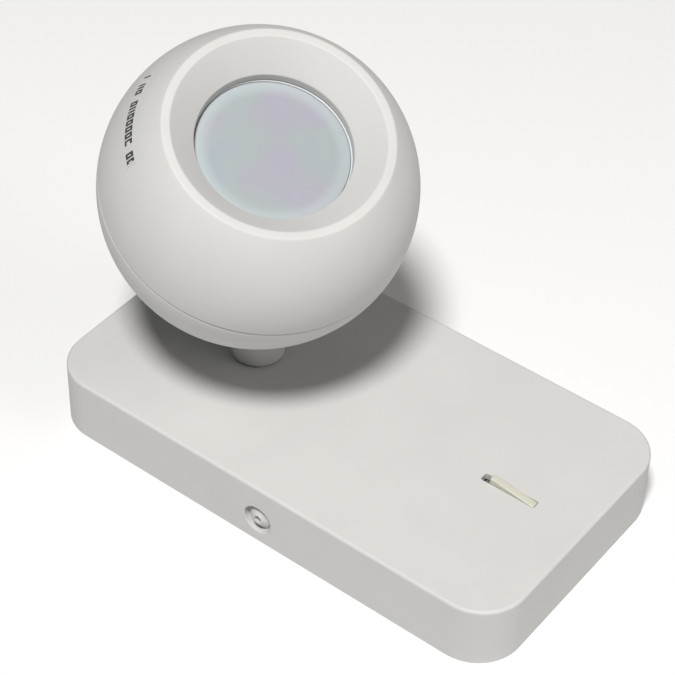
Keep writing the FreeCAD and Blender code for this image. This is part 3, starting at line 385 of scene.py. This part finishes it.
def base_cover():
    top = cover_high.z

    def at_top(first, second):
        return min(first.z, second.z) > top - millimetre / 10

    cover = block("cover_tray", cover_low, cover_high, cover_corner, 24, cover_edge, at_top)
    inset = Vector((cover_wall, cover_wall, 0))
    hollow_low = cover_low + inset - Vector((0, 0, cover_wall))
    hollow_high = cover_high - inset - Vector((0, 0, cover_face))
    hollow = block("hollow", hollow_low, hollow_high, cover_corner - cover_wall, 24)
    combine(cover, hollow)
    half = slot_length / 2
    slot_low = (switch_x - half, -slot_width / 2, top - 2 * cover_face)
    slot_high = (switch_x + half, slot_width / 2, top + cover_face)
    combine(cover, block("slot", slot_low, slot_high, 0.5 * millimetre, 5))
    combine(cover, rod("stem_hole", stem_hole, "Z", top - 2 * cover_face, top + cover_face,
                       (stem_x, 0)))
    face = cover_high.y
    for side in (-1, 1):
        boss = sorted((side * (face - 4.5 * millimetre), side * (face - millimetre)))
        sink = sorted((side * (face - 2.2 * millimetre), side * (face + cover_wall)))
        hole = sorted((side * (face - 3 * cover_wall), side * face))
        combine(cover, rod("boss", boss_radius, "Y", *boss, (0, screw_z)), "UNION")
        combine(cover, rod("sink", sink_radius, "Y", *sink, (0, screw_z)))
        combine(cover, rod("hole", hole_radius, "Y", *hole, (0, screw_z)))
    edit(cover)

    def is_mouth(item):
        first, second = corners_of(cover, item)
        for point in (first, second):
            distance = math.hypot(point.x, point.z - screw_z)
            if abs(abs(point.y) - face) > millimetre / 50 or abs(distance - sink_radius) > 10 * nearly:
                return False
        return True

    def is_slot_rim(item):
        for point in corners_of(cover, item):
            if point.z < top - nearly or abs(point.y) > slot_width / 2 + nearly:
                return False
            if abs(point.x - switch_x) > half + nearly:
                return False
        return True

    choose(cover, "edges", is_mouth)
    bpy.ops.mesh.bevel(offset=0.35 * millimetre, segments=3, affect="EDGES")
    choose(cover, "edges", is_slot_rim)
    bpy.ops.mesh.bevel(offset=0.3 * millimetre, segments=3, affect="EDGES")
    close()
    smooth(cover)
    flatten_faces(cover)
    belongs(cover, "base", powder_coat, "powder_coat", "base_cover")


base_cover()

# ---------------------------------------------------------------- turned work: a lathe
# The ball's halves, the stem's sleeve and the lamp are spun from one outline each, as
# they are on a spinning lathe.  An outline is a list of radius and height pairs.


def arc(centre, radius, start, end, steps):
    """Points along an arc of an outline, with angles in degrees from the radius axis."""
    points = []
    for step in range(steps + 1):
        angle = math.radians(start + (end - start) * step / steps)
        points.append((centre[0] + radius * math.cos(angle), centre[1] + radius * math.sin(angle)))
    return points


def lathe(name, outline, place, segments=160, closed=True):
    """Draw an outline point by point in millimetres, spin it about Z and seat it."""
    points = [Vector((radius, 0, height)) * millimetre for radius, height in outline]
    deselect()
    bpy.ops.mesh.primitive_plane_add(size=millimetre, location=(0, 0, 0))
    piece = name_new(name)
    edit(piece, "VERT")
    bpy.ops.mesh.select_all(action="SELECT")
    bpy.ops.mesh.merge(type="CENTER")
    bpy.ops.transform.translate(value=points[0])
    for before, after in zip(points, points[1:]):
        bpy.ops.mesh.extrude_region_move(TRANSFORM_OT_translate={"value": after - before})
    bpy.ops.mesh.select_all(action="SELECT")
    if closed:
        bpy.ops.mesh.edge_face_add()
        bpy.ops.mesh.delete(type="ONLY_FACE")
        bpy.ops.mesh.select_all(action="SELECT")
    bpy.ops.mesh.spin(steps=segments, angle=2 * math.pi, center=(0, 0, 0), axis=(0, 0, 1))
    bpy.ops.mesh.select_all(action="SELECT")
    bpy.ops.mesh.remove_doubles(threshold=millimetre / 200)
    bpy.ops.mesh.normals_make_consistent(inside=False)
    close()
    apply_place(piece, place)
    return piece


# ---------------------------------------------------------------- ball head, rear half
# Spun aluminium half shell.  A long curved slot lets the stem pass while the ball
# tilts; a spigot inside its rim carries three small bayonet pins.

ball_radius = 50.0
ball_wall = 2.0
half_seam = 0.15
slot_half_width = 5.9
slot_half_angle = 61
rim_round = 0.35
spigot_outer = 47.4
spigot_inner = 46
spigot_rise = 5
spigot_foot = -12


def rim_angle(radius, height):
    return math.degrees(math.asin(height / radius))


def rear_half():
    inner = ball_radius - ball_wall
    outline = arc((0, 0), ball_radius, -90, rim_angle(ball_radius, -half_seam - rim_round), 48)
    outline += arc((ball_radius - rim_round, -half_seam - rim_round), rim_round, 0, 90, 4)[1:]
    outline += [(spigot_outer, -half_seam), (spigot_outer, spigot_rise)]
    outline += [(spigot_inner, spigot_rise), (spigot_inner, spigot_foot)]
    outline += arc((0, 0), inner, rim_angle(inner, -13.5), -90, 36)
    shell = lathe("ball_rear", outline, None, 192, closed=False)
    cutter_half = slot_half_width * millimetre
    reach = ball_radius * 1.1 * millimetre
    tool = rod("slot_tool", reach, "Y", -cutter_half, cutter_half, (0, 0), 128)
    for side in (-1, 1):
        edit(tool, "FACE")
        bpy.ops.mesh.select_all(action="SELECT")
        angle = math.radians(slot_half_angle)
        away = Vector((side * math.cos(angle), 0, math.sin(angle)))
        bpy.ops.mesh.bisect(plane_co=(0, 0, 0), plane_no=away, clear_outer=True, use_fill=True)
        close()
    combine(shell, tool)
    for side in (-1, 1):
        deselect()
        angle = math.radians(side * slot_half_angle)
        bpy.ops.mesh.primitive_cylinder_add(vertices=64, radius=cutter_half, depth=reach,
                                            location=(0, 0, -reach / 2 - 5 * cutter_half))
        end = name_new("slot_end")
        apply_place(end)
        apply_place(end, Matrix.Rotation(-angle, 4, "Y"))
        combine(shell, end)
    for side in (-1, 1):
        span = sorted((side * 44.9 * millimetre, side * 46.6 * millimetre))
        combine(shell, rod("pad", 6 * millimetre, "Y", *span, (0, 0)), "UNION")
        pillar = rod("pillar", 4 * millimetre, "Z", -11 * millimetre, -3.2 * millimetre,
                     (side * 42.5 * millimetre, 0))
        combine(shell, pillar, "UNION")
    for count in range(3):
        deselect()
        angle = math.radians(30 + 120 * count)
        bpy.ops.mesh.primitive_cylinder_add(
            vertices=24, radius=1.2 * millimetre, depth=2.4 * millimetre,
            location=(47.3 * millimetre, 0, 2.5 * millimetre), rotation=(0, math.pi / 2, 0))
        pin = name_new("bayonet_pin")
        apply_place(pin)
        apply_place(pin, Matrix.Rotation(angle, 4, "Z"))
        combine(shell, pin, "UNION")
    apply_place(shell, head_place)
    smooth(shell)
    belongs(shell, "head", powder_coat, "powder_coat", "rear_shell")


rear_half()

# ---------------------------------------------------------------- ball head, front half
# Spun aluminium half shell with a flat rolled lip.  A conical dish leads down to a
# round aperture, whose short collar keeps the lamp's rim out of sight.

lip_height = 35.25
lip_inner = 32.9
lip_round = 0.9
dish_inner = 24.4
dish_foot = 26.85
collar_foot = 24.0
dish_wall = 1.9


def fillet(before, corner, after, radius, steps):
    """Points of an arc that rounds one corner of an outline."""
    corner, before, after = Vector(corner), Vector(before), Vector(after)
    back = (before - corner).normalized()
    onward = (after - corner).normalized()
    half = back.angle(onward) / 2
    reach = radius / math.tan(half)
    start = corner + back * reach
    centre = corner + (back + onward).normalized() * (radius / math.sin(half))
    first = start - centre
    sweep = first.angle_signed(corner + onward * reach - centre)
    points = []
    for step in range(steps + 1):
        spoke = first.copy()
        spoke.rotate(Matrix.Rotation(-sweep * step / steps, 2))
        points.append(tuple(centre + spoke))
    return points


def front_half():
    inner = ball_radius - ball_wall
    lip_outer = math.sqrt(ball_radius**2 - lip_height**2)
    lip_angle = rim_angle(ball_radius, lip_height)
    outline = [(inner, half_seam)]
    outline += arc((ball_radius - rim_round, half_seam + rim_round), rim_round, -90, 0, 4)
    outline += arc((0, 0), ball_radius, 1, lip_angle - 1, 40)
    outline += fillet((lip_outer * 1.02, lip_height * 0.978), (lip_outer, lip_height),
                      (0, lip_height), lip_round, 6)
    foot = (dish_inner, dish_foot)
    lip = (lip_inner, lip_height)
    outline += fillet((lip_outer, lip_height), lip, foot, lip_round, 6)
    outline += fillet(lip, foot, (dish_inner, collar_foot), 0.8, 6)
    outline += [(dish_inner, collar_foot), (dish_inner + dish_wall, collar_foot)]
    shift = dish_wall * (math.sqrt(2) - 1)
    outline.append((dish_inner + dish_wall, dish_foot - shift))
    outline.append((33.9, 33.9))
    outline += arc((0, 0), inner, 44.9, 1, 40)
    shell = lathe("ball_front", outline, head_place, 192)
    smooth(shell)
    belongs(shell, "front", powder_coat, "powder_coat", "front_shell")


front_half()

# ---------------------------------------------------------------- stem sleeve
# Turned aluminium tube, painted.  Its top is hollowed to follow the ball, and a
# thinner neck goes on through the ball's slot.


sleeve_outer = 9.0
sleeve_bore = 4.2
neck_outer = 5.5
ball_clearance = 0.3


def stem_sleeve():
    low, high = (Vector(corner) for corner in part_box("stem_sleeve"))
    centre = ball_centre.z / millimetre
    foot = low.z / millimetre
    neck_top = high.z / millimetre - 0.2
    hollow = ball_radius + ball_clearance
    top_at_rim = centre - math.sqrt(hollow**2 - sleeve_outer**2)
    top_at_neck = centre - math.sqrt(hollow**2 - neck_outer**2)
    outline = [(sleeve_bore, foot), (sleeve_outer - 0.4, foot), (sleeve_outer, foot + 0.4)]
    outline += [(sleeve_outer, top_at_rim - 0.3), (sleeve_outer - 0.2, top_at_rim - 0.1)]
    outline += [(neck_outer, top_at_neck), (neck_outer, neck_top), (sleeve_bore, neck_top)]
    sleeve = lathe("stem_tube", outline, Matrix.Translation((stem_x, 0, 0)), 96)
    smooth(sleeve)
    belongs(sleeve, "stem", powder_coat, "powder_coat", "stem_sleeve")


stem_sleeve()

# ---------------------------------------------------------------- cover screws
# Two M4 button-head screws with a hex socket, painted with the cover.  Each sits in its
# counterbore and runs into a nut welded behind the bracket's ear.


def cover_screw(name, side):
    reach = 4.25
    outline = [(0, 2), (1.9, 2)] + arc((0, -4.2), 6.2, 72, 49, 8)[1:] + [(reach, 0.2)]
    outline += [(reach, 0), (2, 0), (2, -7.4), (1.8, -7.6), (0, -7.6)]
    seat = cover_wall + 0.2 * millimetre
    turn = Matrix.Rotation(-side * math.pi / 2, 4, "X")
    place = Matrix.Translation((0, side * (cover_high.y - seat), screw_z)) @ turn
    screw = lathe(f"side_screw_{name}", outline, None, 64, closed=False)
    deselect()
    bpy.ops.mesh.primitive_cylinder_add(vertices=6, radius=1.45 * millimetre,
                                        depth=2.4 * millimetre, location=(0, 0, 0.002))
    combine(screw, name_new("socket"))
    apply_place(screw, place)
    smooth(screw)
    belongs(screw, "base", powder_coat, "powder_coat", f"cover_screw_{name}")


cover_screw("front", -1)
cover_screw("back", 1)

# ---------------------------------------------------------------- rocker of the switch
# One ivory moulding: a narrow finger bar, a round hub on the pivot pin and a guide for
# the sprung plunger.  It sits low at the stem's end when the switch is off.

rocker_rest = 8
rocker_half_length = 8.2
rocker_half_width = 1.35
rocker_top = 11
web_half = 2.2
hub_radius = 3.4
pin_bore = 1.08
guide_bore = 0.9


def finish_rocker():
    pivot = Vector(joints["rocker_tip"]["pos_m"])
    half = rocker_half_width * millimetre

    def is_top(first, second):
        return min(first.z, second.z) > (rocker_top - 0.1) * millimetre

    bar = block("rocker_bar", (-rocker_half_length * millimetre, -half, 3.5 * millimetre),
                (rocker_half_length * millimetre, half, rocker_top * millimetre),
                0.5 * millimetre, 4, 0.4 * millimetre, is_top)
    web = block("web", (-web_half * millimetre, -half, -6 * millimetre),
                (web_half * millimetre, half, 5 * millimetre), 0, 1)
    combine(bar, web, "UNION")
    combine(bar, rod("hub", hub_radius * millimetre, "Y", -half, half, (0, 0)), "UNION")
    combine(bar, rod("bore", pin_bore * millimetre, "Y", -2 * half, 2 * half, (0, 0), 48))
    guide = rod("guide", guide_bore * millimetre, "Z", -7 * millimetre, -1.7 * millimetre,
                (0, 0), 48)
    combine(bar, guide)
    apply_place(bar, Matrix.Translation(pivot) @ Matrix.Rotation(math.radians(rocker_rest), 4, "Y"))
    smooth(bar)
    plastic = finish_of("rocker_cream", (0.47, 0.46, 0.39), 0.33, mottle=0.02, fine=700.0,
                        broad=120.0, spread=0.08, bump=0.05, depth=0.00003)
    belongs(bar, "rocker", plastic, "rocker_cream", "switch_rocker")


finish_rocker()

# ---------------------------------------------------------------- rating label
# A clear film strip printed in black, wrapped round the ball beside the lip.  The print
# here is only plain blocks and dashes, which stand for no letters.

label_polar = 60.5
label_width = 4.5
label_length = 33
label_angle = -122.6
label_gap = 0.02
label_thickness = 0.12


def build_print():
    """Group: the head's own bearing and height at a point, and a mask of plain blocks."""
    group, given, result = new_group(
        "block_print",
        [("Row Height", "NodeSocketFloat", 0.5), ("Blocks", "NodeSocketFloat", 20.0)],
        [("Mask", "NodeSocketFloat")],
    )
    nodes, links = group.nodes, group.links

    def sum_of(kind, first, second, third=None):
        node = nodes.new("ShaderNodeMath")
        node.operation = kind
        for socket, value in zip(node.inputs, (first, second, third)):
            if hasattr(value, "links"):
                links.new(value, socket)
            elif value is not None:
                socket.default_value = value
        return node.outputs[0]

    place = nodes.new("ShaderNodeTexCoord")
    from_centre = nodes.new("ShaderNodeVectorMath")
    from_centre.operation = "SUBTRACT"
    links.new(place.outputs["Object"], from_centre.inputs[0])
    from_centre.inputs[1].default_value = ball_centre

    def along(axis):
        dot = nodes.new("ShaderNodeVectorMath")
        dot.operation = "DOT_PRODUCT"
        links.new(from_centre.outputs[0], dot.inputs[0])
        dot.inputs[1].default_value = axis
        return dot.outputs["Value"]

    middle = math.radians(label_angle)
    outward = dip_axis * math.cos(middle) + tilt_axis * math.sin(middle)
    sideways = light_axis.cross(outward)
    bearing = sum_of("ARCTAN2", along(sideways), along(outward))
    half_turn = label_length / (2 * ball_radius * math.sin(math.radians(label_polar)))
    run = sum_of("MULTIPLY_ADD", bearing, 1 / (2 * half_turn), 0.5)
    middle_height = ball_radius * math.cos(math.radians(label_polar)) * millimetre
    rise = sum_of("SUBTRACT", along(light_axis), middle_height)
    row_scale = 1 / (label_width * math.sin(math.radians(label_polar)) * millimetre)
    row = sum_of("MULTIPLY", rise, row_scale)

    step = sum_of("MULTIPLY", run, given.outputs["Blocks"])
    cell = sum_of("FLOOR", step, 0)
    inside = sum_of("FRACT", step, 0)
    chance = nodes.new("ShaderNodeTexWhiteNoise")
    chance.noise_dimensions = "1D"
    links.new(cell, chance.inputs["W"])
    luck = chance.outputs["Value"]
    tall = sum_of("LESS_THAN", sum_of("ABSOLUTE", row, 0), given.outputs["Row Height"])
    edge = sum_of("GREATER_THAN", sum_of("ABSOLUTE", row, 0), 0.18)
    gap = sum_of("GREATER_THAN", luck, 0.16)
    first_bar = sum_of("LESS_THAN", inside, 0.32)
    last_bar = sum_of("COMPARE", inside, 0.66, 0.16)
    joined = sum_of("MULTIPLY", sum_of("LESS_THAN", inside, 0.82), edge)
    has_last = sum_of("GREATER_THAN", luck, 0.42)
    has_joined = sum_of("LESS_THAN", luck, 0.82)
    bars = sum_of("MAXIMUM", first_bar, sum_of("MULTIPLY", last_bar, has_last))
    bars = sum_of("MAXIMUM", bars, sum_of("MULTIPLY", joined, has_joined))
    ends = sum_of("COMPARE", run, 0.5, 0.47)
    mask = sum_of("MULTIPLY", sum_of("MULTIPLY", bars, tall), sum_of("MULTIPLY", gap, ends))
    links.new(mask, result.inputs["Mask"])
    return group


def rating_label():
    inner = ball_radius + label_gap
    outer = inner + label_thickness
    half = math.degrees(label_width / 2 / ball_radius)
    low, high = 90 - label_polar - half, 90 - label_polar + half
    outline = arc((0, 0), inner, low, high, 6) + arc((0, 0), outer, high, low, 6)
    strip = lathe("label_strip", outline, None, 360)
    half_sweep = label_length / 2 / (ball_radius * math.sin(math.radians(label_polar)))
    middle = math.radians(label_angle)
    for side in (-1, 1):
        angle = middle + side * half_sweep
        away = Vector((-math.sin(angle), math.cos(angle), 0)) * side
        edit(strip, "FACE")
        bpy.ops.mesh.select_all(action="SELECT")
        bpy.ops.mesh.bisect(plane_co=(0, 0, 0), plane_no=away, clear_outer=True, use_fill=True)
        close()
    apply_place(strip, head_place)
    smooth(strip)
    film = finish_of("label_film", (0.48, 0.478, 0.468), 0.42, mottle=0.03, fine=900.0,
                     broad=60.0, spread=0.06, bump=0.08, depth=0.00003)
    nodes, links = film.node_tree.nodes, film.node_tree.links
    shader = nodes["Principled BSDF"]
    under = shader.inputs["Base Color"].links[0].from_socket
    ink = nodes.new("ShaderNodeMix")
    ink.data_type = "RGBA"
    ink.inputs["B"].default_value = (0.035, 0.035, 0.038, 1)
    printing = nodes.new("ShaderNodeGroup")
    printing.node_tree = build_print()
    printing.inputs["Row Height"].default_value = 0.40
    printing.inputs["Blocks"].default_value = 15.0
    links.new(printing.outputs["Mask"], ink.inputs["Factor"])
    links.new(under, [socket for socket in ink.inputs if socket.name == "A"][2])
    links.new([socket for socket in ink.outputs if socket.name == "Result"][2],
              shader.inputs["Base Color"])
    belongs(strip, "front", film, "label_film", "rating_label")


rating_label()

# ---------------------------------------------------------------- lamp rim
# White polycarbonate ring pressed over the lamp's cup, with a rounded front edge.  Only
# a thin line of it shows inside the collar.

lamp_radius = 25.0
lamp_front = 23.5
bezel_depth = 4.0
bezel_width = 2.0
rim_inner = 24.2


def lamp_rim():
    inner = lamp_radius - bezel_width
    foot = lamp_front - bezel_depth
    step = lamp_front - 1.6
    outline = [(inner, foot), (lamp_radius - 0.2, foot), (lamp_radius, foot + 0.2)]
    outline += arc((lamp_radius - 0.4, lamp_front - 0.4), 0.4, 0, 90, 5)
    outline += arc((rim_inner + 0.2, lamp_front - 0.2), 0.2, 90, 180, 3)
    outline += [(rim_inner, step), (inner, step)]
    rim = lathe("lamp_ring", outline, head_place, 144)
    smooth(rim)
    plastic = finish_of("lamp_rim", (0.60, 0.61, 0.62), 0.28, mottle=0.01, fine=600.0,
                        broad=80.0, spread=0.05, bump=0.04, depth=0.00002)
    belongs(rim, "lamp", plastic, "lamp_rim", "lamp_bezel")


lamp_rim()

# ---------------------------------------------------------------- lamp lens
# Moulded frosted diffuser, slightly domed.  It looks bluish grey when the lamp is off,
# with soft lighter and pinker clouds spread at random over it.

lens_front = 22.5
lens_thickness = 1.7


def frosted():
    """The diffuser's material: slow clouds of three tints and a paler edge."""
    material = finish_of("lamp_diffuser", (0.285, 0.31, 0.345), 0.34, mottle=0.02, fine=900.0,
                         broad=90.0, spread=0.12, bump=0.10, depth=0.00004)
    nodes, links = material.node_tree.nodes, material.node_tree.links
    shader = nodes["Principled BSDF"]
    shader.inputs["Subsurface Weight"].default_value = 0.15
    shader.inputs["Subsurface Radius"].default_value = (0.003, 0.003, 0.003)
    under = shader.inputs["Base Color"].links[0].from_socket
    place = nodes.new("ShaderNodeTexCoord")
    cloud = nodes.new("ShaderNodeTexNoise")
    cloud.inputs["Scale"].default_value = 55.0
    cloud.inputs["Detail"].default_value = 1.0
    tints = nodes.new("ShaderNodeValToRGB")
    ramp = tints.color_ramp
    ramp.elements[0].position = 0.32
    ramp.elements[0].color = (0.25, 0.29, 0.345, 1)
    ramp.elements[1].position = 0.68
    ramp.elements[1].color = (0.30, 0.275, 0.33, 1)
    ramp.elements.new(0.5).color = (0.275, 0.31, 0.30, 1)
    blend = nodes.new("ShaderNodeMix")
    blend.data_type = "RGBA"
    blend.inputs["Factor"].default_value = 0.6
    colours = [socket for socket in blend.inputs if socket.type == "RGBA"]
    links.new(place.outputs["Object"], cloud.inputs["Vector"])
    links.new(cloud.outputs["Fac"], tints.inputs["Fac"])
    links.new(under, colours[0])
    links.new(tints.outputs["Color"], colours[1])

    from_axis = nodes.new("ShaderNodeVectorMath")
    from_axis.operation = "DISTANCE"
    from_axis.inputs[1].default_value = on_head(lens_front * millimetre)
    paler = nodes.new("ShaderNodeMapRange")
    paler.interpolation_type = "SMOOTHSTEP"
    paler.inputs["From Min"].default_value = 18.5 * millimetre
    paler.inputs["From Max"].default_value = 23 * millimetre
    paler.inputs["To Max"].default_value = 0.7
    edge = nodes.new("ShaderNodeMix")
    edge.data_type = "RGBA"
    edge_colours = [socket for socket in edge.inputs if socket.type == "RGBA"]
    edge_colours[1].default_value = (0.37, 0.41, 0.42, 1)
    links.new(place.outputs["Object"], from_axis.inputs[0])
    links.new(from_axis.outputs["Value"], paler.inputs["Value"])
    links.new(paler.outputs["Result"], edge.inputs["Factor"])
    mixed = [socket for socket in blend.outputs if socket.type == "RGBA"][0]
    links.new(mixed, edge_colours[0])
    final = [socket for socket in edge.outputs if socket.type == "RGBA"][0]
    links.new(final, shader.inputs["Base Color"])
    return material


def lamp_lens():
    edge = rim_inner - 0.1
    neck = lamp_radius - bezel_width - 0.1
    back = lens_front - lens_thickness
    step = lamp_front - 1.5
    dome = 0.5
    sphere = (edge**2 + dome**2) / (2 * dome)
    spread = math.degrees(math.asin((edge - 0.5) / sphere))
    outline = arc((0, lamp_front + 0.2 - sphere), sphere, 90, 90 - spread, 14)
    outline += arc((edge - 0.5, lamp_front - 0.78), 0.5, 85, 0, 5)
    outline += [(edge, step), (neck, step), (neck, back), (0, back)]
    lens = lathe("lamp_diffuser_disc", outline, head_place, 144, closed=False)
    smooth(lens)
    belongs(lens, "lamp", frosted(), "lamp_diffuser", "lamp_lens")


lamp_lens()

# ---------------------------------------------------------------- inner parts
# What shows through the slot, the bracket's openings and the opened head: plated steel,
# brass, nylon, rubber, ceramic and insulated leads, each finished as it is made.


def finish_inner():
    finishes = {
        "powder_coat": powder_coat,
        "zinc_steel": finish_of("zinc_steel", (0.60, 0.61, 0.62), 0.34, metallic=1.0,
                                mottle=0.18, fine=900.0, broad=70.0, spread=0.2, bump=0.1),
        "brass": finish_of("brass", (0.72, 0.55, 0.28), 0.28, metallic=1.0, mottle=0.15,
                           fine=800.0, broad=150.0, spread=0.2, bump=0.08),
        "black_rubber": finish_of("black_rubber", (0.025, 0.025, 0.026), 0.7, mottle=0.2,
                                  fine=1200.0, broad=90.0, bump=0.2),
        "nylon_white": finish_of("nylon_white", (0.30, 0.295, 0.275), 0.45, mottle=0.04,
                                 fine=800.0, broad=80.0, bump=0.08),
        "ceramic": finish_of("ceramic", (0.55, 0.53, 0.48), 0.6, mottle=0.08, fine=1100.0,
                             broad=120.0, bump=0.2),
        "lead_brown": finish_of("lead_brown", (0.12, 0.045, 0.02), 0.45, mottle=0.1, bump=0.1),
        "lead_blue": finish_of("lead_blue", (0.02, 0.07, 0.32), 0.45, mottle=0.1, bump=0.1),
        "lead_green": finish_of("lead_green", (0.10, 0.30, 0.04), 0.45, mottle=0.1, bump=0.1),
        "lamp_aluminium": finish_of("lamp_aluminium", (0.70, 0.70, 0.70), 0.42, metallic=1.0,
                                    mottle=0.12, fine=700.0, broad=60.0, spread=0.2, bump=0.15),
        "board_white": finish_of("board_white", (0.60, 0.60, 0.60), 0.35, mottle=0.03, bump=0.05),
        "phosphor": finish_of("phosphor", (0.80, 0.62, 0.10), 0.5, mottle=0.08, bump=0.1),
        "lamp_cap": finish_of("lamp_cap", (0.55, 0.55, 0.53), 0.4, mottle=0.03, bump=0.06),
    }
    for part in frame["record"]["subparts"]:
        node = frame["nodes"][part["node"]]
        if not node.hide_render:
            node.data.materials.clear()
            node.data.materials.append(finishes[part["material_slot"]])
            smooth(node, 30)


finish_inner()
